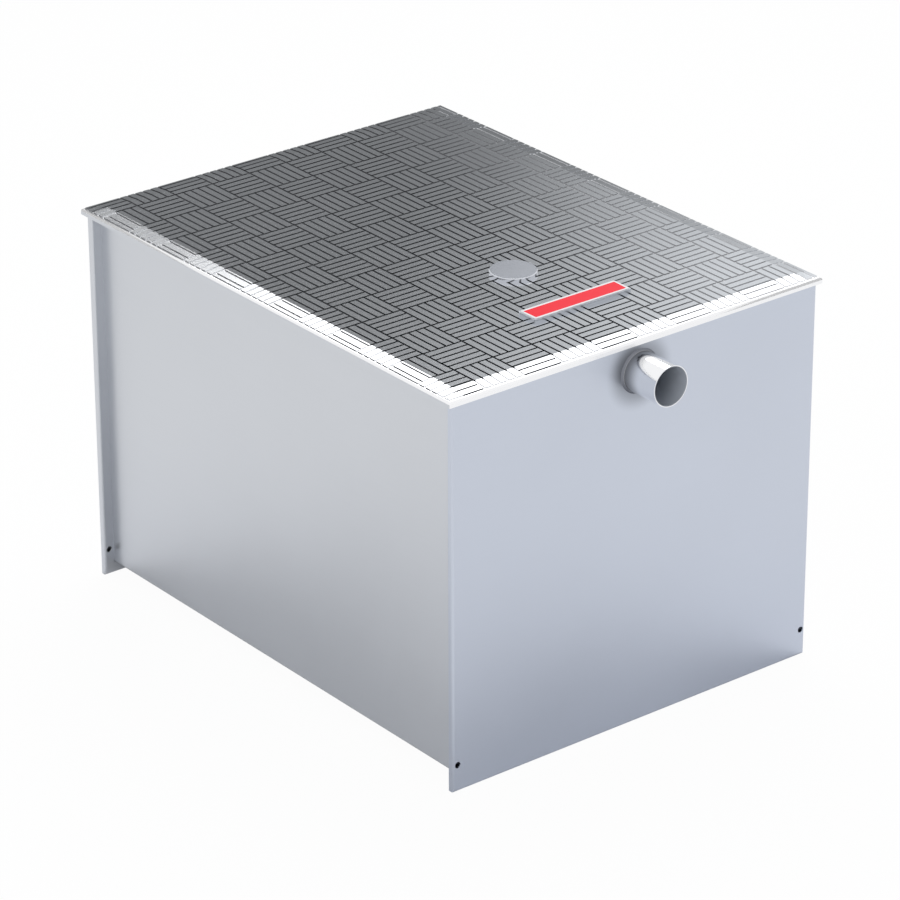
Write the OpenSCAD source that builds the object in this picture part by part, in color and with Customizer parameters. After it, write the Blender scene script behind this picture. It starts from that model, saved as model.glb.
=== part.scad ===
// Grease trap: a folded stainless steel tank on two end plates, with a loose tread plate lid.
// Water comes in at the front, drops through a strainer basket, passes under two baffles and
// leaves at the rear through a dip tube, while grease floats and stays behind.
// The origin is on the floor under the middle of the tank. +Y runs from inlet to outlet, +Z up.

/* [Tank] */
// Width of the end plates
plate_w = 550; // [440:1:800]
// Length of the tank over the two end plates
tank_l = 720; // [660:1:1100]
// Height of the rim above the floor
rim_h = 496; // [440:1:700]
// Height of the tank's bottom above the floor
foot_h = 15; // [10:0.5:30]
// Thickness of the tank's sheet
sheet = 1.5; // [1:0.1:2.5]
// How far the end plates stand past the side walls
ear_w = 14; // [13:0.5:25]
// Depth of the folded edges of the end plates
edge_depth = 10; // [7:0.5:20]
// Outside radius of the tank's folds
fold_r = 3; // [2.6:0.1:5]
// Width of the ledge that carries the gasket
ledge_w = 34; // [33:0.5:45]

/* [Anchor holes] */
// Diameter of the holes through the ears
anchor_d = 8; // [5:0.5:9]
// Height of the holes above the floor
anchor_z = 35; // [30:1:80]

/* [Pipes] */
// Outside diameter of the pipes
pipe_od = 50.8; // [40:0.1:60.3]
// Wall of the pipes
pipe_wall = 1.5; // [1:0.1:2.5]
// How far the pipes stand out of the end plates
pipe_out = 55; // [30:1:120]
// How far the pipes reach into the tank, from the end plates' faces
pipe_in = 60; // [45:1:80]
// Depth of the inlet's centre below the rim
inlet_below_rim = 36.5; // [36:0.5:60]
// Depth of the outlet's centre below the inlet's
outlet_below_inlet = 25; // [0:1:50]
// Bend radius of the outlet elbow, at the middle of the pipe
elbow_r = 60; // [45:1:75]
// Gap between the dip tube and the tank's bottom
dip_gap = 90; // [40:1:150]
// Gap round a pipe in its hole, closed by the weld
pipe_fit = 0.2; // [0.1:0.05:0.3]
// Leg of the weld bead round a pipe
weld_leg = 2.5; // [1.5:0.1:4]

/* [Lid] */
// How far the lid stands past the end plates' sides
lid_side_over = 6; // [4:0.5:12]
// Gap between the lid's edge and the end plates' faces
lid_play = 0.5; // [0.3:0.1:3]
// Thickness of the lid's plate, without the raised bars
lid_t = 2.5; // [1.5:0.1:2.8]
// Width of the sloping border
border_w = 24; // [15:0.5:26]
// Drop of the sloping border
border_drop = 2.3; // [1:0.1:4]
// Height of the edge that is bent down
lip_h = 7.2; // [7:0.1:12]
// Outside radius of the bend along the edge
lid_bend_r = 6; // [4:0.5:7]
// Thickness of the gasket strip under the lid
gasket_t = 5; // [5:0.1:8]
// Width of the gasket strip
gasket_w = 9; // [6:0.5:9]
// Gap between the gasket and the ledge's inner edge
gasket_inset = 0.5; // [0:0.1:0.6]

/* [Tread pattern] */
// Side of one square of parallel bars
tread_cell = 56.6; // [40:0.1:80]
// Bars in one square
tread_bars = 5; // [3:1:6]
// Width of the grooves between the bars
groove_w = 3.5; // [2:0.1:4]
// Height of a bar
bar_h = 1.2; // [0.8:0.1:2]
// How far the squares are shifted towards the rear
tread_back = 9; // [0:1:28]
// Plain strip between the bars and the bend along the lid's edge
edge_plain = 0.8; // [0.2:0.1:4]

/* [Plug and badge] */
// Diameter of the plug's head
plug_d = 58; // [48:0.5:70]
// Height of the plug's head
plug_h = 5; // [3:0.1:8]
// Diameter of the finger hole that the plug fills
finger_hole_d = 40; // [28:0.5:44]
// Play of the plug in its hole, on the radius
plug_play = 0.3; // [0.2:0.05:0.5]
// How far the plug reaches below the lid
plug_below = 6; // [3:0.5:12]
// Distance of the plug's middle from the lid's front edge
plug_from_edge = 233; // [205:1:260]
// Length of the badge, across the lid
badge_w = 146; // [80:1:200]
// Width of the badge, along the lid
badge_l = 32; // [20:1:50]
// Height of the badge's base
badge_h = 4; // [2:0.1:6]
// Height of the badge's face above its base
badge_face_h = 1; // [0.6:0.1:2]
// Bare margin of the badge's base round its face
badge_margin = 1.5; // [1:0.1:4]
// Corner radius of the badge
badge_r = 3; // [2:0.1:5]
// Distance of the badge's middle from the lid's front edge
badge_from_edge = 119; // [60:1:150]

/* [Strainer basket] */
// Width of the basket
basket_w = 260; // [160:1:380]
// Length of the basket
basket_l = 166; // [120:1:180]
// Depth of the basket
basket_h = 200; // [120:1:240]
// Thickness of the basket's sheet
basket_t = 1.2; // [0.8:0.1:2]
// Width of the basket's turned-out rim
basket_rim = 12; // [8:0.5:14]
// Distance of the basket's rim below the inlet pipe
basket_below_inlet = 10; // [5:0.5:30]
// Distance of the basket behind the front plate's face
basket_back = 50; // [47:1:60]
// Diameter of the strainer holes
strainer_d = 8; // [4:0.5:12]
// Spacing of the strainer holes
strainer_pitch = 24; // [20:1:40]
// Diameter of the handle's wire
handle_d = 6; // [4:0.5:8]
// Height of the handle above the basket's rim
handle_h = 48; // [36:1:52]
// Bend radius of the handle
handle_r = 20; // [14:1:30]
// Leg of the angle rails that carry the basket
rail_leg = 22; // [14:0.5:30]
// Thickness of the angle rails
rail_t = 2; // [1.5:0.1:3]

/* [Baffles] */
// Distance of the front baffle in front of the tank's middle
front_baffle_forward = 90; // [70:1:100]
// Distance of the rear baffle behind the tank's middle
rear_baffle_back = 140; // [80:1:160]
// Gap under the baffles
baffle_gap = 80; // [50:1:150]
// Distance of the baffles' top below the rim
baffle_below_rim = 16; // [12:1:60]
// Width of the fold along a baffle's top
baffle_fold = 15; // [8:0.5:20]
// Depth of the guide channels
guide_depth = 14; // [8:0.5:25]
// Thickness of the guide channels
guide_t = 1.5; // [1:0.1:3]
// Play of a baffle in its channels, each way
baffle_play = 0.5; // [0.3:0.05:1]

/* [Hidden] */
$fn = 64;

steel = [0.78, 0.79, 0.81];
dark_steel = [0.45, 0.46, 0.48];
rubber_grey = [0.16, 0.16, 0.17];
badge_red = [0.90, 0.09, 0.12];

// Cutters run this far past what they cut
over = 1;
// The lid's bend rises this far past its border before it is cut off there
bend_lift = 0.1;
// Shortest piece of a bar that is still drawn
bar_least = 2;

wall_x = plate_w/2 - ear_w;
inside_x = wall_x - sheet;
floor_z = foot_h + sheet;
ledge_z = rim_h - sheet;
anchor_x = wall_x + ear_w/2;

inlet_z = rim_h - inlet_below_rim;
outlet_z = inlet_z - outlet_below_inlet;
elbow_y = tank_l/2 - pipe_in;
dip_y = elbow_y - elbow_r;
dip_top = outlet_z - elbow_r;

lid_w = plate_w + 2*lid_side_over;
lid_l = tank_l + 2*(lid_play + lid_t);
lid_under = rim_h + gasket_t;
lid_top = lid_under + lid_t;
lid_edge_z = lid_top - border_drop;
bar_top = lid_top + bar_h;
bar_pitch = tread_cell/tread_bars;
bar_w = bar_pitch - groove_w;
plug_y = plug_from_edge - lid_l/2;
badge_y = badge_from_edge - lid_l/2;

basket_z = inlet_z - pipe_od/2 - basket_below_inlet;
basket_y = -tank_l/2 + basket_back + basket_l/2;
baffle_top = rim_h - baffle_below_rim;
baffle_z = floor_z + baffle_gap;
baffle_x = inside_x - guide_t - baffle_play;
slot_w = sheet + 2*baffle_play;

// Square from the origin, with a radius of its own at each corner:
// at the origin, at +x, at the far corner and at +y
module fillet_square(size, radii) {
    corners = [[0, 0], [size[0], 0], size, [0, size[1]]];
    difference() {
        square(size);
        for (i = [0:3])
            if (radii[i] > 0)
                translate(corners[i])
                    rotate(90*i)
                        difference() {
                            translate([-over, -over])
                                square(radii[i] + over);
                            translate([radii[i], radii[i]])
                                circle(radii[i]);
                        }
    }
}

// Round tube along +Z
module tube(outer_d, wall, h) {
    difference() {
        cylinder(d = outer_d, h = h);
        translate([0, 0, -over])
            cylinder(d = outer_d - 2*wall, h = h + 2*over);
    }
}

// Section of the wrap: bottom, side walls and the ledges turned in at their tops
module wrap_section(grow) {
    r = fold_r - grow;
    translate([grow - wall_x, foot_h + grow])
        fillet_square([2*(wall_x - grow), rim_h - foot_h - 2*grow], [r, r, r, r]);
}

module tank_wrap() {
    length = tank_l - 2*sheet;
    color(steel)
        difference() {
            rotate([90, 0, 0])
                linear_extrude(length, center = true)
                    difference() {
                        wrap_section(0);
                        wrap_section(sheet);
                        translate([ledge_w - wall_x, rim_h/2])
                            square([2*(wall_x - ledge_w), rim_h]);
                    }
            for (end = [-1, 1])
                translate([-plate_w/2, end*(tank_l/2 - ledge_w/2) - ledge_w/2, ledge_z])
                    cube([plate_w, ledge_w, rim_h]);
        }
}

// Block that an end plate is folded around, shrunk by grow on every side.
// Its outer face is at y = 0 and it stands on the floor.
module plate_block(grow) {
    r = fold_r - grow;
    depth = edge_depth - 2*grow;
    intersection() {
        translate([grow - plate_w/2, grow, 0])
            linear_extrude(rim_h)
                fillet_square([plate_w - 2*grow, depth], [r, r, r, r]);
        translate([-plate_w/2, 0, 0])
            rotate([90, 0, 90])
                linear_extrude(plate_w)
                    translate([grow, grow])
                        fillet_square([depth, rim_h - 2*grow], [r, r, 0, r]);
    }
}

// End plate: one sheet with its sides and foot folded back twice round the tank,
// and its top bent over into the ledge
module end_plate(pipe_z) {
    difference() {
        union() {
            difference() {
                plate_block(0);
                plate_block(sheet);
                translate([-wall_x, sheet, foot_h])
                    cube([2*wall_x, edge_depth, ledge_z - foot_h]);
            }
            translate([-wall_x, edge_depth, ledge_z])
                cube([2*wall_x, ledge_w - edge_depth, sheet]);
        }
        translate([0, -over, pipe_z])
            rotate([-90, 0, 0])
                cylinder(d = pipe_od + 2*pipe_fit, h = sheet + 2*over);
        for (side = [-1, 1])
            translate([side*anchor_x, -over, anchor_z])
                rotate([-90, 0, 0])
                    cylinder(d = anchor_d, h = edge_depth + 2*over);
    }
}

module front_plate() {
    color(steel)
        translate([0, -tank_l/2, 0])
            end_plate(inlet_z);
}

module rear_plate() {
    color(steel)
        translate([0, tank_l/2, 0])
            rotate(180)
                end_plate(outlet_z);
}

// Pipe with the weld bead that seals it to its end plate. Its free end is at z = 0.
module pipe_stub() {
    tube(pipe_od, pipe_wall, pipe_out + pipe_in);
    translate([0, 0, pipe_out - weld_leg])
        difference() {
            cylinder(d1 = pipe_od, d2 = pipe_od + 2*weld_leg, h = weld_leg);
            translate([0, 0, -over])
                cylinder(d = pipe_od - pipe_wall, h = weld_leg + 2*over);
        }
}

module inlet_pipe() {
    color(steel)
        translate([0, -tank_l/2 - pipe_out, inlet_z])
            rotate([-90, 0, 0])
                pipe_stub();
}

module outlet_pipe() {
    color(steel)
        translate([0, tank_l/2 + pipe_out, outlet_z])
            rotate([90, 0, 0])
                pipe_stub();
}

module outlet_elbow() {
    color(steel)
        translate([0, elbow_y, dip_top])
            rotate([0, -90, 0])
                rotate_extrude(angle = -90)
                    translate([elbow_r, 0])
                        difference() {
                            circle(d = pipe_od);
                            circle(d = pipe_od - 2*pipe_wall);
                        }
}

module dip_tube() {
    color(steel)
        translate([0, dip_y, floor_z + dip_gap])
            tube(pipe_od, pipe_wall, dip_top - floor_z - dip_gap);
}

// Angle bar from wall to wall. Its upright stands at y = 0 and its top is at z = 0.
module basket_rail() {
    translate([-inside_x, 0, -rail_leg])
        cube([2*inside_x, rail_t, rail_leg]);
    translate([-inside_x, 0, -rail_t])
        cube([2*inside_x, basket_rim, rail_t]);
}

module basket_rail_front() {
    color(steel)
        translate([0, basket_y - basket_l/2, basket_z])
            mirror([0, 1, 0])
                basket_rail();
}

module basket_rail_rear() {
    color(steel)
        translate([0, basket_y + basket_l/2, basket_z])
            basket_rail();
}

// Rows of strainer holes over a panel of the given size, centred on the origin
module strainer_holes(size, depth) {
    columns = floor((size[0] - strainer_pitch)/strainer_pitch);
    rows = floor((size[1] - strainer_pitch)/strainer_pitch);
    for (i = [0:columns], j = [0:rows])
        translate([(i - columns/2)*strainer_pitch, (j - rows/2)*strainer_pitch, 0])
            cylinder(d = strainer_d, h = depth, center = true, $fn = 16);
}

// The basket hangs by its rim on the two rails, with its body just clear of them
module strainer_basket() {
    body_l = basket_l - 2*baffle_play;
    color(steel)
        translate([0, basket_y, basket_z])
            difference() {
                union() {
                    translate([-basket_w/2, -body_l/2, -basket_h])
                        cube([basket_w, body_l, basket_h + basket_t]);
                    translate([-basket_w/2 - basket_rim, -basket_l/2 - basket_rim, 0])
                        cube([basket_w + 2*basket_rim, basket_l + 2*basket_rim, basket_t]);
                }
                translate([basket_t - basket_w/2, basket_t - body_l/2, basket_t - basket_h])
                    cube([basket_w - 2*basket_t, body_l - 2*basket_t, basket_h + over]);
                translate([0, 0, -basket_h])
                    strainer_holes([basket_w, body_l], 4*basket_t);
            }
}

// Round wire bent into a square arch and welded inside the basket's short sides
module basket_handle() {
    reach = basket_w/2 - basket_t - handle_d/2;
    foot = -2*handle_d;
    color(steel)
        translate([0, basket_y, basket_z]) {
            for (side = [-1, 1]) {
                translate([side*reach, 0, foot])
                    cylinder(d = handle_d, h = handle_h - handle_r - foot);
                translate([side*(reach - handle_r), 0, handle_h - handle_r])
                    rotate([90, 0, 0])
                        rotate_extrude(angle = 90, start = side > 0 ? 0 : 90)
                            translate([handle_r, 0])
                                circle(d = handle_d);
            }
            translate([handle_r - reach, 0, handle_h])
                rotate([0, 90, 0])
                    cylinder(d = handle_d, h = 2*(reach - handle_r));
        }
}

// Pair of channels on the side walls, each closed at its foot, where the baffle stands.
// The slot's middle is at y = 0.
module baffle_guides() {
    depth = guide_t + guide_depth;
    width = slot_w + 2*guide_t;
    for (side = [-1, 1])
        translate([side*(inside_x - depth/2), 0, 0])
            difference() {
                translate([-depth/2, -width/2, baffle_z - guide_t])
                    cube([depth, width, baffle_top - baffle_z + guide_t]);
                translate([-depth/2 - side*guide_t, -slot_w/2, baffle_z])
                    cube([depth, slot_w, rim_h]);
            }
}

// Loose sheet that slides down into its channels, with a stiffening fold along its top
module baffle() {
    fold_x = baffle_x - guide_depth - guide_t;
    rotate([90, 0, 90])
        linear_extrude(2*baffle_x, center = true)
            translate([-sheet/2, baffle_z])
                square([sheet, baffle_top - baffle_z]);
    translate([-fold_x, -sheet/2, baffle_top - sheet])
        cube([2*fold_x, baffle_fold, sheet]);
}

module front_guides() {
    color(steel)
        translate([0, -front_baffle_forward, 0])
            baffle_guides();
}

module front_baffle() {
    color(steel)
        translate([0, -front_baffle_forward, 0])
            baffle();
}

module rear_guides() {
    color(steel)
        translate([0, rear_baffle_back, 0])
            baffle_guides();
}

module rear_baffle() {
    color(steel)
        translate([0, rear_baffle_back, 0])
            baffle();
}

module lid_gasket() {
    inner = [wall_x - ledge_w, tank_l/2 - ledge_w] + gasket_inset*[1, 1];
    color(rubber_grey)
        translate([0, 0, rim_h])
            linear_extrude(gasket_t)
                difference() {
                    square(2*(inner + gasket_w*[1, 1]), center = true);
                    square(2*inner, center = true);
                }
}

// Section of the lid's outside across one of its spans, shrunk by grow: a flat field, sloping
// borders and edges bent down to the given bottom. The bend's sharp corner would be at z = 0.
module lid_section(span, grow, bottom) {
    half = span/2 - grow;
    flat = half - border_w;
    difference() {
        polygon([
            [-half, bottom],
            [half, bottom],
            [half, 0],
            [flat, border_drop],
            [-flat, border_drop],
            [-half, 0]
        ]);
        bend_waste(half, lid_bend_r - grow);
        mirror([1, 0])
            bend_waste(half, lid_bend_r - grow);
    }
}

// What a bend of radius r takes off the corner between a border and its edge.
// It crosses the border at a slight angle.
module bend_waste(half, r) {
    translate([half - r, r*border_drop/border_w + bend_lift - r])
        difference() {
            square(r + border_drop + over);
            circle(r);
        }
}

// Block of the lid's outside, shrunk by grow
module lid_block(grow, bottom) {
    translate([0, 0, -grow])
        intersection() {
            rotate([90, 0, 0])
                linear_extrude(lid_l, center = true)
                    lid_section(lid_w, grow, bottom);
            rotate([90, 0, 90])
                linear_extrude(lid_w, center = true)
                    lid_section(lid_l, grow, bottom);
        }
}

// Squares take turns: bars run along X where column and row add up to an odd number
function runs_along_x(column, row) = abs(column + row) % 2 == 1;

// One bar of a square in plan, as [low x, low y, high x, high y]
function bar_box(column, row, k) =
    let (middle = [(column + 0.5)*tread_cell, row*tread_cell + tread_back],
         step = (k - (tread_bars - 1)/2)*bar_pitch,
         half_l = tread_cell/2 - groove_w/2,
         along_x = runs_along_x(column, row),
         half = along_x ? [half_l, bar_w/2] : [bar_w/2, half_l],
         centre = middle + (along_x ? [0, step] : [step, 0]))
    [each (centre - half), each (centre + half)];

// Every bar of the lid in plan, cut off just before the bend along the edge
module tread_plan() {
    reach = [lid_w/2, lid_l/2] - (lid_bend_r + edge_plain)*[1, 1];
    columns = ceil(reach[0]/tread_cell);
    rows = ceil(reach[1]/tread_cell);
    for (column = [-columns:columns - 1], row = [-rows - 1:rows], k = [0:tread_bars - 1]) {
        bar = bar_box(column, row, k);
        low = [max(bar[0], -reach[0]), max(bar[1], -reach[1])];
        high = [min(bar[2], reach[0]), min(bar[3], reach[1])];
        if (min(high - low) > bar_least)
            translate(low)
                square(high - low);
    }
}

// The bars are a second, higher outside of the lid, kept only where the plan has a bar,
// so they run on over the folds
module lid() {
    color(dark_steel)
        translate([0, 0, lid_edge_z])
            difference() {
                union() {
                    lid_block(0, -lip_h);
                    intersection() {
                        translate([0, 0, bar_h])
                            lid_block(0, -lip_h);
                        translate([0, 0, -lid_t])
                            linear_extrude(lid_t + border_drop + 2*bar_h)
                                tread_plan();
                    }
                }
                lid_block(lid_t, -lip_h - over);
                translate([0, plug_y, -lid_t])
                    cylinder(d = finger_hole_d, h = lid_t + border_drop + 2*bar_h);
            }
}

// Turned plug: a spigot in the finger hole and a chamfered head that lies on the bars
module lid_plug() {
    chamfer = plug_h/5;
    color(steel)
        translate([0, plug_y, 0]) {
            translate([0, 0, lid_under - plug_below])
                cylinder(d = finger_hole_d - 2*plug_play, h = bar_top - lid_under + plug_below);
            translate([0, 0, bar_top])
                cylinder(d = plug_d, h = plug_h - chamfer);
            translate([0, 0, bar_top + plug_h - chamfer])
                cylinder(d1 = plug_d, d2 = plug_d - 2*chamfer, h = chamfer);
        }
}

// Block of the badge's plan, shrunk by margin on every side
module badge_block(margin, h) {
    size = [badge_w, badge_l] - 2*margin*[1, 1];
    r = badge_r - margin/2;
    linear_extrude(h)
        translate(-size/2)
            fillet_square(size, [r, r, r, r]);
}

module badge_base() {
    color(dark_steel)
        translate([0, badge_y, bar_top])
            badge_block(0, badge_h);
}

module badge_face() {
    color(badge_red)
        translate([0, badge_y, bar_top + badge_h])
            badge_block(badge_margin, badge_face_h);
}

tank_wrap();
front_plate();
rear_plate();
inlet_pipe();
outlet_pipe();
outlet_elbow();
dip_tube();
basket_rail_front();
basket_rail_rear();
strainer_basket();
basket_handle();
front_guides();
front_baffle();
rear_guides();
rear_baffle();
lid_gasket();
lid();
lid_plug();
badge_base();
badge_face();
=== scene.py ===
# Looks for a stainless steel grease trap: satin sheet tank on two folded end plates, polished
# pipe stubs and a loose tread plate lid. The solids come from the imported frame, in metres.
import math

import bmesh
import bpy
from mathutils import Matrix, Vector


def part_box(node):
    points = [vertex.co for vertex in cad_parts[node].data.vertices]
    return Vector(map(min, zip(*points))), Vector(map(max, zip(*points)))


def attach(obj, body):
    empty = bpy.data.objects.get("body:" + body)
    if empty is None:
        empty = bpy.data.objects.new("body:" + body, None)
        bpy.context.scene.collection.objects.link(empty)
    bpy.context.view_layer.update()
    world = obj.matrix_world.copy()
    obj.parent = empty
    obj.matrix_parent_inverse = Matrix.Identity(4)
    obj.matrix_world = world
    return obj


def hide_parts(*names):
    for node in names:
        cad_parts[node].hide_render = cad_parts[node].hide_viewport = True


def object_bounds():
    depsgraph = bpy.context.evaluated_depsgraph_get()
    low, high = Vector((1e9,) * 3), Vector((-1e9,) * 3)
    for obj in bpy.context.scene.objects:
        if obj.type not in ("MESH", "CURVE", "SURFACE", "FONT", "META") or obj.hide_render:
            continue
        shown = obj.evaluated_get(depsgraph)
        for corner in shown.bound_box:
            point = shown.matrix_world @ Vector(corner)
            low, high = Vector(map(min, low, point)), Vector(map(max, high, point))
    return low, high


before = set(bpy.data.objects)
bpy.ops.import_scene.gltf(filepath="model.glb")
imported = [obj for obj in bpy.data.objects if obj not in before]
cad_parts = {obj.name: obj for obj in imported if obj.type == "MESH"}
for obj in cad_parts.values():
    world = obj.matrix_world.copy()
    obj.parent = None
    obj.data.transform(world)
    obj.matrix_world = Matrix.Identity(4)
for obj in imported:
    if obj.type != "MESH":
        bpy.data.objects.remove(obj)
cad_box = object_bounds()


# Tank: one sheet folded into bottom and side walls, and two end plates whose sides and foot are
# folded back round it. All three are stainless sheet with a fine satin brush along the floor,
# welded inside where the seams don't show.
wrap_colour = (0.640, 0.660, 0.695, 1)
# The front plate is bluer and a little darker than the wrap and rear plate: painted cool light on that
# face.
front_cool_light_colour = (0.600, 0.640, 0.725, 1)
satin_roughness = 0.34
satin_spread = 0.12
satin_brush = (6, 6, 900)
satin_scratch = 0.00002
cloud_scale = 5
cloud_shade = 0.93
scratch_strength = 0.4


def math_node(nodes, operation, *constants):
    """Math node with its constant inputs, None where a link comes in."""
    node = nodes.new("ShaderNodeMath")
    node.operation = operation
    for socket, constant in zip(node.inputs, constants):
        if constant is not None:
            socket.default_value = constant
    return node


def vector_node(nodes, operation, constant=None):
    """Vector node whose second input may be constant."""
    node = nodes.new("ShaderNodeVectorMath")
    node.operation = operation
    if constant is not None:
        node.inputs[1].default_value = constant
    return node


def noise_node(nodes, scale, detail=2):
    """Noise with this many grains in a metre."""
    node = nodes.new("ShaderNodeTexNoise")
    node.inputs["Scale"].default_value = scale
    node.inputs["Detail"].default_value = detail
    return node


def colour_mix(nodes, first=None, second=None):
    """Mix of two colours, None where a link comes in."""
    node = nodes.new("ShaderNodeMix")
    node.data_type = "RGBA"
    if first is not None:
        node.inputs["A"].default_value = first
    if second is not None:
        node.inputs["B"].default_value = second
    return node


def blank_finish(name):
    """New material, with its nodes and links."""
    finish = bpy.data.materials.new(name)
    finish.use_nodes = True
    return finish, finish.node_tree.nodes, finish.node_tree.links


def brushed_sheet_group():
    """Brush lines and slow clouds of a rolled sheet, for every steel finish of the trap."""
    group = bpy.data.node_groups.new("brushed_sheet", "ShaderNodeTree")
    for name, side, kind in (
            ("Vector", "INPUT", "Vector"), ("Brush", "INPUT", "Vector"),
            ("Colour", "INPUT", "Color"), ("Shade", "INPUT", "Color"),
            ("Roughness", "INPUT", "Float"), ("Spread", "INPUT", "Float"),
            ("Colour", "OUTPUT", "Color"), ("Roughness", "OUTPUT", "Float"),
            ("Lines", "OUTPUT", "Float")):
        group.interface.new_socket(name, in_out=side, socket_type="NodeSocket" + kind)
    nodes, links = group.nodes, group.links
    given = nodes.new("NodeGroupInput")
    result = nodes.new("NodeGroupOutput")

    stretch = vector_node(nodes, "MULTIPLY")
    lines = noise_node(nodes, scale=1, detail=3)
    clouds = noise_node(nodes, cloud_scale)
    tint = colour_mix(nodes)
    both = math_node(nodes, "ADD")
    centred = math_node(nodes, "SUBTRACT", None, 1)
    rough = math_node(nodes, "MULTIPLY_ADD")

    links.new(given.outputs["Vector"], stretch.inputs[0])
    links.new(given.outputs["Brush"], stretch.inputs[1])
    links.new(stretch.outputs["Vector"], lines.inputs["Vector"])
    links.new(given.outputs["Vector"], clouds.inputs["Vector"])
    links.new(clouds.outputs["Fac"], tint.inputs["Factor"])
    links.new(given.outputs["Shade"], tint.inputs["A"])
    links.new(given.outputs["Colour"], tint.inputs["B"])
    links.new(lines.outputs["Fac"], both.inputs[0])
    links.new(clouds.outputs["Fac"], both.inputs[1])
    links.new(both.outputs["Value"], centred.inputs[0])
    links.new(centred.outputs["Value"], rough.inputs[0])
    links.new(given.outputs["Spread"], rough.inputs[1])
    links.new(given.outputs["Roughness"], rough.inputs[2])
    links.new(tint.outputs["Result"], result.inputs["Colour"])
    links.new(rough.outputs["Value"], result.inputs["Roughness"])
    links.new(lines.outputs["Fac"], result.inputs["Lines"])
    return group


brushed_sheet = brushed_sheet_group()


def steel_finish(name, colour, roughness, spread, brush, line_depth):
    """Steel with brush lines: spread is how far its roughness varies, line_depth is in metres."""
    finish, nodes, links = blank_finish(name)
    shader = nodes["Principled BSDF"]
    shader.inputs["Metallic"].default_value = 1
    place = nodes.new("ShaderNodeTexCoord")
    sheet = nodes.new("ShaderNodeGroup")
    sheet.node_tree = brushed_sheet
    sheet.inputs["Brush"].default_value = brush
    sheet.inputs["Colour"].default_value = colour
    sheet.inputs["Shade"].default_value = [cloud_shade * c for c in colour[:3]] + [1]
    sheet.inputs["Roughness"].default_value = roughness
    sheet.inputs["Spread"].default_value = spread
    scratch = nodes.new("ShaderNodeBump")
    scratch.inputs["Strength"].default_value = scratch_strength
    scratch.inputs["Distance"].default_value = line_depth
    links.new(place.outputs["Object"], sheet.inputs["Vector"])
    links.new(sheet.outputs["Colour"], shader.inputs["Base Color"])
    links.new(sheet.outputs["Roughness"], shader.inputs["Roughness"])
    links.new(sheet.outputs["Lines"], scratch.inputs["Height"])
    links.new(scratch.outputs["Normal"], shader.inputs["Normal"])
    return finish


def satin_sheet(name, colour):
    """Satin sheet with a fine brush."""
    return steel_finish(name, colour, satin_roughness, satin_spread, satin_brush, satin_scratch)


def dress(finish, *nodes):
    """Gives CAD nodes a finish in place of their plain one."""
    for name in nodes:
        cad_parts[name].data.materials.clear()
        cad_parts[name].data.materials.append(finish)


for piece, colour in (
        ("tank_wrap", wrap_colour), ("front_plate", front_cool_light_colour), ("rear_plate", wrap_colour)):
    dress(satin_sheet(piece + "_sheet", colour), piece)


# Pipes: thin-wall stainless tube, polished outside and left dull in the bore, with a stub welded
# into each end plate. Painted shade darkens each stub and its plate round the weld. Inside the tank
# an elbow and a dip tube take the water from under the grease.
tube_colour = (0.95, 0.955, 0.97, 1)
tube_roughness = 0.14
tube_spread = 0.06
tube_polish = (8, 500, 8)
tube_scratch = 0.00001
bore_colour = (0.47, 0.50, 0.55, 1)
bore_radius = 0.0245
# The weld bead is dull, and its dark colour is painted shade where the pipe meets the plate.
weld_and_shade_colour = (0.20, 0.21, 0.24, 1)
weld_dullness = 0.25
weld_radius = 0.0256
# Painted shade round each stub: on the plate out from the weld, and on the tube near the plate.
plate_shade_reach = 0.052
plate_painted_shade = 0.55
tube_shade_length = 0.030
tube_painted_shade = 0.40


def soft_ramp(nodes, low, high, start=0, end=1):
    """Value that eases from start to end as its input goes from low to high."""
    node = nodes.new("ShaderNodeMapRange")
    node.interpolation_type = "SMOOTHSTEP"
    for socket, value in (("From Min", low), ("From Max", high), ("To Min", start), ("To Max", end)):
        node.inputs[socket].default_value = value
    return node


def off_axis(finish, axis_height):
    """Distance from a stub's axis, which lies at this height."""
    nodes, links = finish.node_tree.nodes, finish.node_tree.links
    from_axis = nodes.new("ShaderNodeMapping")
    from_axis.inputs["Location"].default_value = (0, 0, -axis_height)
    from_axis.inputs["Scale"].default_value = (1, 0, 1)
    radius = vector_node(nodes, "LENGTH")
    links.new(nodes["Texture Coordinate"].outputs["Object"], from_axis.inputs["Vector"])
    links.new(from_axis.outputs["Vector"], radius.inputs[0])
    return radius.outputs["Value"]


def with_painted_shade(finish, distance, weld, clean, shade):
    """Colour of a finish with painted shade: darkest at the weld, clear of it at the clean end."""
    nodes, links = finish.node_tree.nodes, finish.node_tree.links
    tint = soft_ramp(nodes, weld, clean, shade)
    darker = vector_node(nodes, "SCALE")
    links.new(distance, tint.inputs["Value"])
    links.new(nodes["Group"].outputs["Colour"], darker.inputs[0])
    links.new(tint.outputs["Result"], darker.inputs["Scale"])
    return darker.outputs["Vector"]


def paint_shade_round_stub(finish, axis_height):
    """Paints shade softly on a plate round the weld of its stub."""
    radius = off_axis(finish, axis_height)
    shaded_colour = with_painted_shade(finish, radius, weld_radius, plate_shade_reach, plate_painted_shade)
    shader = finish.node_tree.nodes["Principled BSDF"]
    finish.node_tree.links.new(shaded_colour, shader.inputs["Base Color"])


def tube_finish(name):
    """Polished tube."""
    return steel_finish(name, tube_colour, tube_roughness, tube_spread, tube_polish, tube_scratch)


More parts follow.
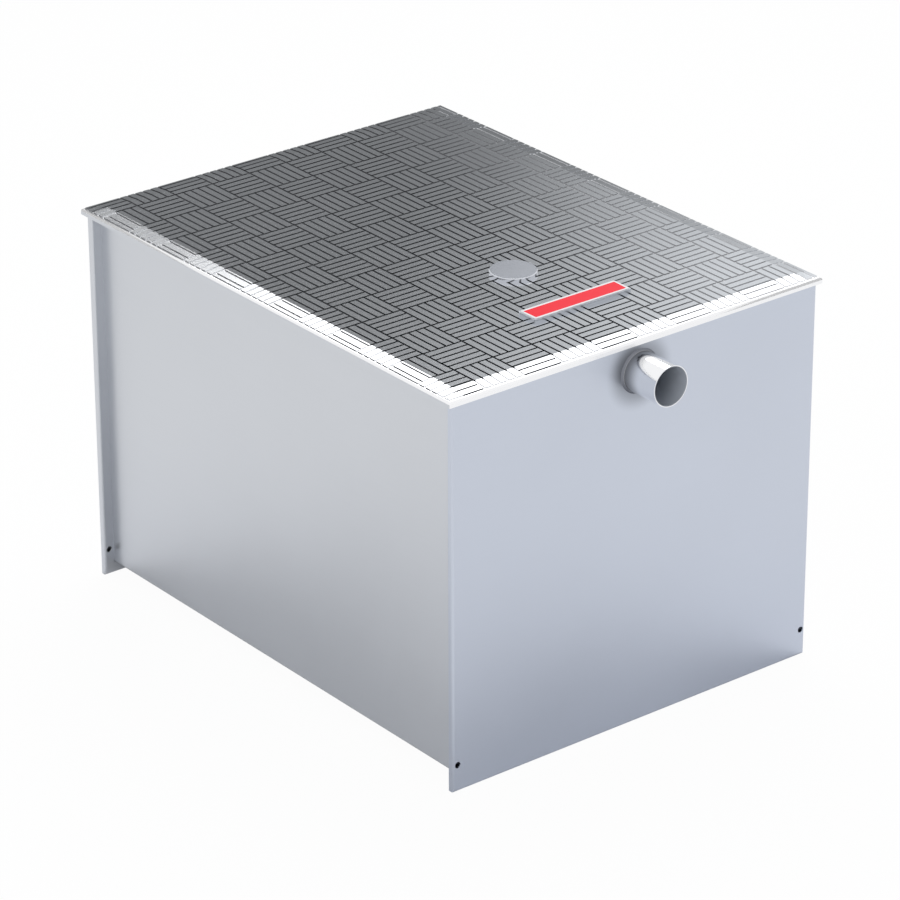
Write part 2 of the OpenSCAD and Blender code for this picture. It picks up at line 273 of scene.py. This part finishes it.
def stub_finish(name, axis_height, plate_face):
    """Polished tube with a dull bore, a dark dull weld bead and painted shade where it leaves the
    plate.
    """
    finish = tube_finish(name)
    nodes, links = finish.node_tree.nodes, finish.node_tree.links
    sheet, shader = nodes["Group"], nodes["Principled BSDF"]
    along = nodes.new("ShaderNodeSeparateXYZ")
    outwards = math_node(nodes, "ABSOLUTE")
    links.new(nodes["Texture Coordinate"].outputs["Object"], along.inputs["Vector"])
    links.new(along.outputs["Y"], outwards.inputs[0])
    shaded_colour = with_painted_shade(
        finish, outwards.outputs["Value"], plate_face, plate_face + tube_shade_length, tube_painted_shade)

    radius = off_axis(finish, axis_height)
    past_bore = math_node(nodes, "GREATER_THAN", None, bore_radius)
    on_weld = math_node(nodes, "GREATER_THAN", None, weld_radius)
    tube = colour_mix(nodes, first=bore_colour)
    welded = colour_mix(nodes, second=weld_and_shade_colour)
    dull = math_node(nodes, "MULTIPLY_ADD", None, weld_dullness)
    links.new(radius, past_bore.inputs[0])
    links.new(radius, on_weld.inputs[0])
    links.new(past_bore.outputs["Value"], tube.inputs["Factor"])
    links.new(shaded_colour, tube.inputs["B"])
    links.new(on_weld.outputs["Value"], welded.inputs["Factor"])
    links.new(tube.outputs["Result"], welded.inputs["A"])
    links.new(on_weld.outputs["Value"], dull.inputs[0])
    links.new(sheet.outputs["Roughness"], dull.inputs[2])
    links.new(past_bore.outputs["Value"], shader.inputs["Metallic"])
    links.new(welded.outputs["Result"], shader.inputs["Base Color"])
    links.new(dull.outputs["Value"], shader.inputs["Roughness"])
    return finish


for stub, plate in (("inlet_pipe", "front_plate"), ("outlet_pipe", "rear_plate")):
    stub_low, stub_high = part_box(stub)
    plate_low, plate_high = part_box(plate)
    axis_height = (stub_low.z + stub_high.z) / 2
    plate_face = max(-plate_low.y, plate_high.y)
    dress(stub_finish(stub + "_tube", axis_height, plate_face), stub)
    paint_shade_round_stub(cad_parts[plate].data.materials[0], axis_height)
dress(tube_finish("polished_tube"), "outlet_elbow", "dip_tube")


# Inner pieces: strainer basket with its wire handle on two angle rails, and two loose baffles in
# folded channels. They are mill finish sheet and wire, duller than the outside.
mill_colour = (0.48, 0.49, 0.51, 1)
mill_roughness = 0.42
mill_spread = 0.16
mill_grain = (60, 60, 300)
mill_scratch = 0.00003
mill_sheet = steel_finish(
    "mill_sheet", mill_colour, mill_roughness, mill_spread, mill_grain, mill_scratch)
dress(
    mill_sheet, "strainer_basket", "basket_handle", "basket_rail_front", "basket_rail_rear",
    "front_guides", "front_baffle", "rear_guides", "rear_baffle")


# Gasket: a strip of foam rubber glued on the ledge round the mouth, which the lid lies on. Its
# cut faces show fine pores.
foam_roughness = 0.85
pore_scale = 700
pore_depth = 0.0005
pore_strength = 0.3
foam_shades = ((0.35, (0.012, 0.012, 0.014, 1)), (0.65, (0.040, 0.040, 0.044, 1)))
foam_rubber, nodes, links = blank_finish("foam_rubber")
shader = nodes["Principled BSDF"]
shader.inputs["Roughness"].default_value = foam_roughness
place = nodes.new("ShaderNodeTexCoord")
pores = noise_node(nodes, pore_scale)
shades = nodes.new("ShaderNodeValToRGB")
for stop, (position, colour) in zip(shades.color_ramp.elements, foam_shades):
    stop.position = position
    stop.color = colour
pitted = nodes.new("ShaderNodeBump")
pitted.inputs["Strength"].default_value = pore_strength
pitted.inputs["Distance"].default_value = pore_depth
links.new(place.outputs["Object"], pores.inputs["Vector"])
links.new(pores.outputs["Fac"], shades.inputs["Fac"])
links.new(shades.outputs["Color"], shader.inputs["Base Color"])
links.new(pores.outputs["Fac"], pitted.inputs["Height"])
links.new(pitted.outputs["Normal"], shader.inputs["Normal"])
dress(foam_rubber, "lid_gasket")


# Lid: one sheet of tread plate, its border pressed down a little and its edge bent over the rim,
# lying loose on the gasket. Squares of five bars take turns along and across and run on over the
# folds. The bar tops are bright steel. The grooves, most bar sides and the back border are painted
# dark as shade. The front and side borders, the bends and the front and back lips are burnished,
# their colour raised as a painted sheen; the side lips keep the tank's satin.
lid_low, lid_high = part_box("lid")
plate_thickness = 0.0025
border_width = 0.024
border_drop = 0.0023
bend_radius = 0.003
bend_steps = 6
bar_height = 0.0012
bar_sink = 0.0003
groove_width = 0.0028
bars_in_square = 5
square_side = 0.0566
squares_back = 0.009
edge_plain = 0.0008
shortest_bar = 0.002
hole_radius = 0.020
hole_segments = 48
facing_up = 0.9
ground, crown, burnished_sheen, satin = range(4)
edge = lid_high.xy
field = edge - Vector((border_width, border_width))
reach = edge - Vector((1, 1)) * (bend_radius + edge_plain)
plate_top = lid_high.z - bar_height
plug_low, plug_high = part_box("lid_plug")
plug_middle = (plug_low + plug_high) / 2


def edge_profile():
    """Distance in from the lid's edge, and height, of each line from the border to the lip."""
    slope = math.atan2(border_drop, border_width)
    centre = plate_top - border_drop + bend_radius * (math.tan(slope) - 1 / math.cos(slope))
    for step in range(bend_steps + 1):
        turn = slope + (math.pi / 2 - slope) * step / bend_steps
        yield bend_radius * (1 - math.sin(turn)), centre + bend_radius * math.cos(turn)
    yield 0, lid_low.z


def lid_plate():
    """Flat field with the finger hole, drawn out line by line to the lip."""
    bm = bmesh.new()
    field_shape = Matrix.Translation((0, 0, plate_top)) @ Matrix.Diagonal((*field, 1, 1))
    bmesh.ops.create_grid(bm, x_segments=1, y_segments=1, size=1, matrix=field_shape)
    bmesh.ops.delete(bm, geom=bm.faces[:], context="FACES_ONLY")
    line = bm.edges[:]
    bmesh.ops.create_circle(
        bm, segments=hole_segments, radius=hole_radius,
        matrix=Matrix.Translation((0, plug_middle.y, plate_top)))
    bmesh.ops.triangle_fill(bm, edges=bm.edges[:], use_beauty=True)
    for step, (inset, height) in enumerate(edge_profile()):
        drawn = bmesh.ops.extrude_edge_only(bm, edges=line)["geom"]
        corners = [part for part in drawn if isinstance(part, bmesh.types.BMVert)]
        line = [e for e in bm.edges if all(v in corners for v in e.verts)]
        for corner in corners:
            corner.co = (
                math.copysign(edge.x - inset, corner.co.x),
                math.copysign(edge.y - inset, corner.co.y), height)
        for outer in line:
            ring = outer.link_faces[0]
            ring.smooth = 0 < step <= bend_steps
            ends = [v.co for v in outer.verts]
            # The back border takes the grooves' painted shade, the side lips the satin, and the rest
            # the burnished finish whose colour is raised as painted sheen.
            shaded_back_strip = step == 0 and min(end.y for end in ends) > field.y
            side_lip = step > bend_steps and ends[0].x * ends[1].x > 0
            ring.material_index = ground if shaded_back_strip else satin if side_lip else burnished_sheen
    bmesh.ops.recalc_face_normals(bm, faces=bm.faces[:])
    if bm.faces[0].normal.z < 0:
        bmesh.ops.reverse_faces(bm, faces=bm.faces[:])
    bmesh.ops.solidify(bm, geom=bm.faces[:], thickness=plate_thickness)
    return bm


def squares_along(length):
    """Numbers of the squares that reach over half a length, on both sides of the middle."""
    most = math.ceil(length / square_side)
    return range(-most - 1, most + 1)


def bar_plan():
    """Low and high corner in plan of each bar, and whether it runs along X."""
    pitch = square_side / bars_in_square
    half_bar = Vector((square_side - groove_width, pitch - groove_width)) / 2
    for column in squares_along(reach.x):
        for row in squares_along(reach.y):
            middle = Vector(((column + 0.5) * square_side, row * square_side + squares_back))
            along_x = (column + row) % 2 == 1
            half = half_bar if along_x else half_bar.yx
            for k in range(bars_in_square):
                step = (k - (bars_in_square - 1) / 2) * pitch
                centre = middle + (Vector((0, step)) if along_x else Vector((step, 0)))
                low = Vector([max(c, -r) for c, r in zip(centre - half, reach)])
                high = Vector([min(c, r) for c, r in zip(centre + half, reach)])
                if min(high - low) > shortest_bar:
                    yield low, high, along_x


def clear_of_hole(low, high, along_x):
    """A bar in the pieces that the finger hole leaves of it."""
    across, along = (1, 0) if along_x else (0, 1)
    near = max(low[across] - plug_middle[across], plug_middle[across] - high[across], 0)
    if near >= hole_radius:
        return [(low, high)]
    half_gap = math.sqrt(hole_radius ** 2 - near ** 2)
    before, after = high.copy(), low.copy()
    before[along] = min(high[along], plug_middle[along] - half_gap)
    after[along] = max(low[along], plug_middle[along] + half_gap)
    return [(a, b) for a, b in ((low, before), (after, high)) if min(b - a) > shortest_bar]


def lit_bar_side(wall):
    """Whether a bar's side stays bright, not painted dark as shade: on the front or side border, by a
    groove that runs down it or at an end.
    """
    middle = wall.calc_center_median()
    if middle.y > field.y:
        return False
    if abs(wall.normal.x) > abs(wall.normal.y):
        return middle.y < -field.y
    ends_bar = wall.calc_perimeter() < square_side
    return abs(middle.x) > field.x or ends_bar and middle.y < -field.y


def lid_bars():
    """All bars laid out flat, cut at the folds and pressed down with the border."""
    bm = bmesh.new()
    for whole_low, whole_high, along_x in bar_plan():
        for low, high in clear_of_hole(whole_low, whole_high, along_x):
            centre = (*(low + high) / 2, plate_top + (bar_height - bar_sink) / 2)
            size = (*(high - low), bar_height + bar_sink, 1)
            bmesh.ops.create_cube(
                bm, size=1, matrix=Matrix.Translation(centre) @ Matrix.Diagonal(size))
    for outwards in (Vector((1, 0)), Vector((-1, 0)), Vector((0, 1)), Vector((0, -1))):
        fold = (outwards * field).to_3d()
        bmesh.ops.bisect_plane(
            bm, geom=bm.verts[:] + bm.edges[:] + bm.faces[:], plane_co=fold,
            plane_no=outwards.to_3d())
    # Bar tops and the sides that light would reach keep the bright steel; all other sides take the
    # grooves' painted shade.
    for f in bm.faces:
        kept_bright = f.normal.z > facing_up or lit_bar_side(f)
        f.material_index = crown if kept_bright else ground
    for v in bm.verts:
        past = max(abs(v.co.x) - field.x, abs(v.co.y) - field.y, 0)
        v.co.z -= border_drop * past / border_width
    return bm


def as_object(name, bm, *finishes):
    """Makes a bmesh an object with these finishes."""
    mesh = bpy.data.meshes.new(name)
    bm.to_mesh(mesh)
    bm.free()
    for finish in finishes:
        mesh.materials.append(finish)
    piece = bpy.data.objects.new(name, mesh)
    bpy.context.scene.collection.objects.link(piece)
    return piece


def shown(name, bm, *finishes):
    """Makes a bmesh an object of the trap."""
    piece = as_object(name, bm, *finishes)
    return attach(piece, "root")


tread_grain = (260, 260, 260)
ground_roughness = 0.25
ground_spread = 0.10
ground_scratch = 0.00001
# Painted shade in the grooves, also on the dark bar sides and the back border.
groove_shade_front = (0.075, 0.080, 0.087, 1)
groove_shade_back = (0.20, 0.205, 0.215, 1)
groove_pale_right = (0.56, 0.565, 0.58, 1)
paler_towards = (4.5, -1.0, 0)
pale_from, pale_at = 0.1, 1.2
crown_colour = (0.77, 0.78, 0.80, 1)
crown_roughness = 0.13
crown_spread = 0.03
# Burnished border: smoother than the bars, with its colour raised as a painted sheen.
edge_sheen_colour = (0.94, 0.945, 0.96, 1)
edge_roughness = 0.16
edge_spread = 0.04
worn_scratch = 0.000002


def ground_finish(name):
    """Floor of the grooves, painted dark as shade: darkest at the front left, paler to the back and
    palest to the right.
    """
    finish = steel_finish(
        name, groove_shade_front, ground_roughness, ground_spread, tread_grain, ground_scratch)
    nodes, links = finish.node_tree.nodes, finish.node_tree.links
    place, sheet = nodes["Texture Coordinate"], nodes["Group"]
    along = nodes.new("ShaderNodeSeparateXYZ")
    to_back = soft_ramp(nodes, -edge.y, edge.y)
    back_fade = colour_mix(nodes, groove_shade_front, groove_shade_back)
    across = vector_node(nodes, "DOT_PRODUCT", paler_towards)
    to_right = soft_ramp(nodes, pale_from, pale_at)
    groove_shading = colour_mix(nodes, second=groove_pale_right)
    links.new(place.outputs["Object"], along.inputs["Vector"])
    links.new(along.outputs["Y"], to_back.inputs["Value"])
    links.new(to_back.outputs["Result"], back_fade.inputs["Factor"])
    links.new(back_fade.outputs["Result"], groove_shading.inputs["A"])
    links.new(place.outputs["Object"], across.inputs[0])
    links.new(across.outputs["Value"], to_right.inputs["Value"])
    links.new(to_right.outputs["Result"], groove_shading.inputs["Factor"])
    links.new(groove_shading.outputs["Result"], sheet.inputs["Colour"])
    links.new(groove_shading.outputs["Result"], sheet.inputs["Shade"])
    return finish


tread_ground = ground_finish("tread_ground")
tread_crown = steel_finish(
    "tread_crown", crown_colour, crown_roughness, crown_spread, tread_grain, worn_scratch)
burnished_sheen_edge = steel_finish(
    "burnished_sheen_edge", edge_sheen_colour, edge_roughness, edge_spread, tread_grain, worn_scratch)
satin_lip = satin_sheet("satin_lip", wrap_colour)
lid_shape = lid_bars()
plate_mesh = bpy.data.meshes.new("tread_lid_plate")
plate_shape = lid_plate()
plate_shape.to_mesh(plate_mesh)
plate_shape.free()
lid_shape.from_mesh(plate_mesh)
tread_lid = shown(
    "tread_lid", lid_shape, tread_ground, tread_crown, burnished_sheen_edge, satin_lip)
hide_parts("lid")


# Plug: a turned stainless disc whose spigot fills the finger hole. The face shows rings from the
# lathe, round the plug's own middle.
plug_colour = (0.64, 0.66, 0.71, 1)
plug_roughness = 0.20
plug_spread = 0.04
plug_grain = (300, 300, 300)
ring_depth = 0.00001
ring_scale = 260
ring_waver = 0.4
turned_steel = steel_finish(
    "turned_steel", plug_colour, plug_roughness, plug_spread, plug_grain, ring_depth)
nodes, links = turned_steel.node_tree.nodes, turned_steel.node_tree.links
centred = nodes.new("ShaderNodeMapping")
centred.inputs["Location"].default_value = -plug_middle
rings = nodes.new("ShaderNodeTexWave")
rings.wave_type = "RINGS"
rings.rings_direction = "Z"
rings.inputs["Scale"].default_value = ring_scale
rings.inputs["Distortion"].default_value = ring_waver
links.new(nodes["Texture Coordinate"].outputs["Object"], centred.inputs["Vector"])
links.new(centred.outputs["Vector"], rings.inputs["Vector"])
links.new(rings.outputs["Fac"], nodes["Bump"].inputs["Height"])
dress(turned_steel, "lid_plug")


# Badge: a satin aluminium block glued down on the bars, with an enamelled face on top: a plain red
# field inside a white border, with no lettering.
block_colour = (0.52, 0.55, 0.60, 1)
block_roughness = 0.38
block_spread = 0.10
block_brush = (40, 900, 900)
block_scratch = 0.00002
badge_metal = steel_finish(
    "badge_metal", block_colour, block_roughness, block_spread, block_brush, block_scratch)
dress(badge_metal, "badge_base")
face_low, face_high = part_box("badge_face")
face_size = face_high - face_low
white_width = 0.0032
corner_radius = 0.0024
face_edge = 0.0003
white_colour = (0.86, 0.86, 0.87, 1)
white_shade = (0.80, 0.80, 0.82, 1)
red_colour = (0.95, 0.030, 0.050, 1)
red_shade = (0.88, 0.022, 0.038, 1)
enamel_waves = 90
enamel_shine = 0.25
enamel_roughness = (0.08, 0.16)


def enamel(name, colour, shade):
    """Fired enamel: even colour with a slow waviness in its gloss."""
    finish, nodes, links = blank_finish(name)
    shader = nodes["Principled BSDF"]
    shader.inputs["Specular IOR Level"].default_value = enamel_shine
    place = nodes.new("ShaderNodeTexCoord")
    waves = noise_node(nodes, enamel_waves)
    tint = colour_mix(nodes, shade, colour)
    gloss = nodes.new("ShaderNodeMapRange")
    gloss.inputs["To Min"].default_value = enamel_roughness[0]
    gloss.inputs["To Max"].default_value = enamel_roughness[1]
    links.new(place.outputs["Object"], waves.inputs["Vector"])
    links.new(waves.outputs["Fac"], tint.inputs["Factor"])
    links.new(tint.outputs["Result"], shader.inputs["Base Color"])
    links.new(waves.outputs["Fac"], gloss.inputs["Value"])
    links.new(gloss.outputs["Result"], shader.inputs["Roughness"])
    return finish


def top_faces(bm):
    """Faces that look up."""
    return [f for f in bm.faces if f.normal.z > facing_up]


face_shape = bmesh.new()
bmesh.ops.create_cube(
    face_shape, size=1,
    matrix=Matrix.Translation((face_low + face_high) / 2) @ Matrix.Diagonal((*face_size, 1)))
uprights = [
    e for e in face_shape.edges if abs(e.verts[0].co.z - e.verts[1].co.z) > face_size.z / 2]
bmesh.ops.bevel(
    face_shape, geom=uprights, offset=corner_radius, segments=5, profile=0.5, affect="EDGES",
    material=-1)
(face_top,) = top_faces(face_shape)
bmesh.ops.bevel(
    face_shape, geom=face_top.edges[:], offset=face_edge, segments=2, profile=0.5, affect="EDGES",
    material=-1)
red_field = max(top_faces(face_shape), key=lambda f: f.calc_area())
bmesh.ops.inset_region(face_shape, faces=[red_field], thickness=white_width)
red_field.material_index = 1
bmesh.ops.remove_doubles(face_shape, verts=red_field.verts[:], dist=corner_radius)
white_enamel = enamel("white_enamel", white_colour, white_shade)
red_enamel = enamel("red_enamel", red_colour, red_shade)
enamel_face = shown("badge_enamel_face", face_shape, white_enamel, red_enamel)
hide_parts("badge_face")


# Studio: a pale floor that runs to white, a soft box overhead and behind, a fill at the left, and
# far behind the trap a wall of light over a grey screen. The lid's border mirrors the wall, and its
# flat field mirrors the screen, which is darker low down and to the left.
floor_radius = 7
floor_drop = 0.0005
floor_segments = 96
paper_colour = (0.90, 0.90, 0.91, 1)
paper_seen = 0.96
# In reflections the floor's glow fades near the trap: a painted shadow round it, over the paper's real
# shadow.
contact_end, white_from = 0.45, 1.0
contact_white, open_white = 0.1, 0.9


def floor_finish(name):
    """Paper that takes shadows, all but white to the camera; in the steel its glow fades near the trap
    as painted shadow.
    """
    finish, nodes, links = blank_finish(name)
    nodes.remove(nodes["Principled BSDF"])
    paper = nodes.new("ShaderNodeBsdfDiffuse")
    paper.inputs["Color"].default_value = paper_colour
    white = nodes.new("ShaderNodeEmission")
    rays = nodes.new("ShaderNodeLightPath")
    place = nodes.new("ShaderNodeTexCoord")
    distance = vector_node(nodes, "LENGTH")
    spread_out = soft_ramp(nodes, contact_end, white_from, contact_white, open_white)
    mirrored = math_node(nodes, "MULTIPLY")
    seen = math_node(nodes, "MULTIPLY_ADD", None, paper_seen)
    through = math_node(nodes, "ADD")
    through.use_clamp = True
    mixed = nodes.new("ShaderNodeMixShader")
    links.new(place.outputs["Object"], distance.inputs[0])
    links.new(distance.outputs["Value"], spread_out.inputs["Value"])
    links.new(rays.outputs["Is Glossy Ray"], mirrored.inputs[0])
    links.new(spread_out.outputs["Result"], mirrored.inputs[1])
    links.new(rays.outputs["Is Camera Ray"], seen.inputs[0])
    links.new(mirrored.outputs["Value"], seen.inputs[2])
    links.new(seen.outputs["Value"], through.inputs[0])
    links.new(rays.outputs["Is Transmission Ray"], through.inputs[1])
    links.new(through.outputs["Value"], mixed.inputs["Fac"])
    links.new(paper.outputs["BSDF"], mixed.inputs[1])
    links.new(white.outputs["Emission"], mixed.inputs[2])
    links.new(mixed.outputs["Shader"], nodes["Material Output"].inputs["Surface"])
    return finish


floor_shape = bmesh.new()
bmesh.ops.create_circle(
    floor_shape, cap_ends=True, segments=floor_segments, radius=floor_radius,
    matrix=Matrix.Translation((0, 0, cad_box[0].z - floor_drop)))
floor = as_object("floor", floor_shape, floor_finish("floor_paper"))

room_colour = (0.95, 0.97, 1, 1)
room_strength = 0.45
world = bpy.data.worlds.new("studio")
bpy.context.scene.world = world
world.use_nodes = True
nodes, links = world.node_tree.nodes, world.node_tree.links
room = nodes["Background"]
room.inputs["Color"].default_value = room_colour
room.inputs["Strength"].default_value = room_strength
backdrop = nodes.new("ShaderNodeBackground")
backdrop.inputs["Color"].default_value = (1, 1, 1, 1)
rays = nodes.new("ShaderNodeLightPath")
direct = math_node(nodes, "ADD")
direct.use_clamp = True
any_ray = math_node(nodes, "ADD")
any_ray.use_clamp = True
mixed = nodes.new("ShaderNodeMixShader")
links.new(rays.outputs["Is Camera Ray"], direct.inputs[0])
links.new(rays.outputs["Is Glossy Ray"], direct.inputs[1])
links.new(direct.outputs["Value"], any_ray.inputs[0])
links.new(rays.outputs["Is Transmission Ray"], any_ray.inputs[1])
links.new(any_ray.outputs["Value"], mixed.inputs["Fac"])
links.new(room.outputs["Background"], mixed.inputs[1])
links.new(backdrop.outputs["Background"], mixed.inputs[2])
links.new(mixed.outputs["Shader"], nodes["World Output"].inputs["Surface"])


def soft_box(name, place, aim, width, height, power, mirrored):
    """Area lamp that points at a spot, and whether the steel mirrors it."""
    lamp = bpy.data.lights.new(name, "AREA")
    lamp.shape = "RECTANGLE"
    lamp.size = width
    lamp.size_y = height
    lamp.energy = power
    stand = bpy.data.objects.new(name, lamp)
    stand.location = place
    stand.rotation_euler = (Vector(aim) - Vector(place)).to_track_quat("-Z", "Y").to_euler()
    stand.visible_glossy = mirrored
    bpy.context.scene.collection.objects.link(stand)


tank_middle = (0, 0, 0.3)
rim_middle = (0, 0, 0.5)
screen_away = Vector((0.6212, 0.7837, 0))
screen_across = Vector((0.7837, -0.6212, 0))
screen_distance = 5.0
screen_half_width = 1.6
screen_bottom, screen_top = 0, 3.45
wall_distance, wall_height = 5.1, 4.7
wall_middle = screen_away * wall_distance + Vector((0, 0, wall_height))
soft_box(
    "soft_box_above", place=(1.0, 0.8, 2.9), aim=tank_middle, width=2.2, height=2.2, power=55,
    mirrored=False)
soft_box(
    "soft_box_left", place=(-2.6, -1.6, 1.6), aim=tank_middle, width=2.0, height=2.0, power=24,
    mirrored=False)
soft_box(
    "light_wall", place=wall_middle, aim=rim_middle, width=3.4, height=2.2, power=46,
    mirrored=True)

cloth_colour = (0.94, 0.97, 1, 1)
slant_across, slant_up = 0.8, 0.5
cloth_slant = screen_across * slant_across + Vector((0, 0, slant_up))
dark_end, pale_end = 1.2, 2.15
dark_strength, pale_strength = 0.23, 0.95


def screen_finish(name):
    """Grey cloth with its own glow, which rises aslant to the upper right."""
    finish, nodes, links = blank_finish(name)
    nodes.remove(nodes["Principled BSDF"])
    glow = nodes.new("ShaderNodeEmission")
    glow.inputs["Color"].default_value = cloth_colour
    place = nodes.new("ShaderNodeTexCoord")
    slanted = vector_node(nodes, "DOT_PRODUCT", cloth_slant)
    fade = soft_ramp(nodes, dark_end, pale_end, dark_strength, pale_strength)
    links.new(place.outputs["Object"], slanted.inputs[0])
    links.new(slanted.outputs["Value"], fade.inputs["Value"])
    links.new(fade.outputs["Result"], glow.inputs["Strength"])
    links.new(glow.outputs["Emission"], nodes["Material Output"].inputs["Surface"])
    return finish


screen_shape = bmesh.new()
corners = [
    screen_shape.verts.new(screen_away * screen_distance + screen_across * s + Vector((0, 0, z)))
    for s, z in (
        (-screen_half_width, screen_bottom), (screen_half_width, screen_bottom),
        (screen_half_width, screen_top), (-screen_half_width, screen_top))]
screen_shape.faces.new(corners)
grey_screen = as_object("grey_screen", screen_shape, screen_finish("screen_cloth"))
grey_screen.visible_camera = False
grey_screen.visible_shadow = False
grey_screen.visible_diffuse = False


# Camera: a long lens that looks down from the front left, at the photograph's angle. Its focal
# length is in pixels of the photograph, and its turns are in degrees.
photo_width = 900
focal_pixels = 4431.17
sensor_width = 36
farthest_seen = 60
camera_place = Vector((-3.04826, -3.85651, 2.57184))
camera_turns = (-38.38813, 25.52372, -0.17061)
yaw, pitch, roll = (math.radians(turn) for turn in camera_turns)
back = Vector((
    math.sin(yaw) * math.cos(pitch), -math.cos(yaw) * math.cos(pitch), math.sin(pitch)))
right = (-back).cross(Vector((0, 0, 1))).normalized()
up = back.cross(right)
rolled_right = math.cos(roll) * right + math.sin(roll) * up
rolled_up = -math.sin(roll) * right + math.cos(roll) * up
lens = bpy.data.cameras.new("camera")
lens.sensor_width = sensor_width
lens.lens = focal_pixels * sensor_width / photo_width
lens.clip_end = farthest_seen
camera = bpy.data.objects.new("camera", lens)
camera.matrix_world = Matrix.Translation(camera_place) @ Matrix(
    (rolled_right, rolled_up, back)).transposed().to_4x4()
bpy.context.scene.collection.objects.link(camera)
bpy.context.scene.camera = camera
bpy.context.scene.view_settings.view_transform = "Standard"
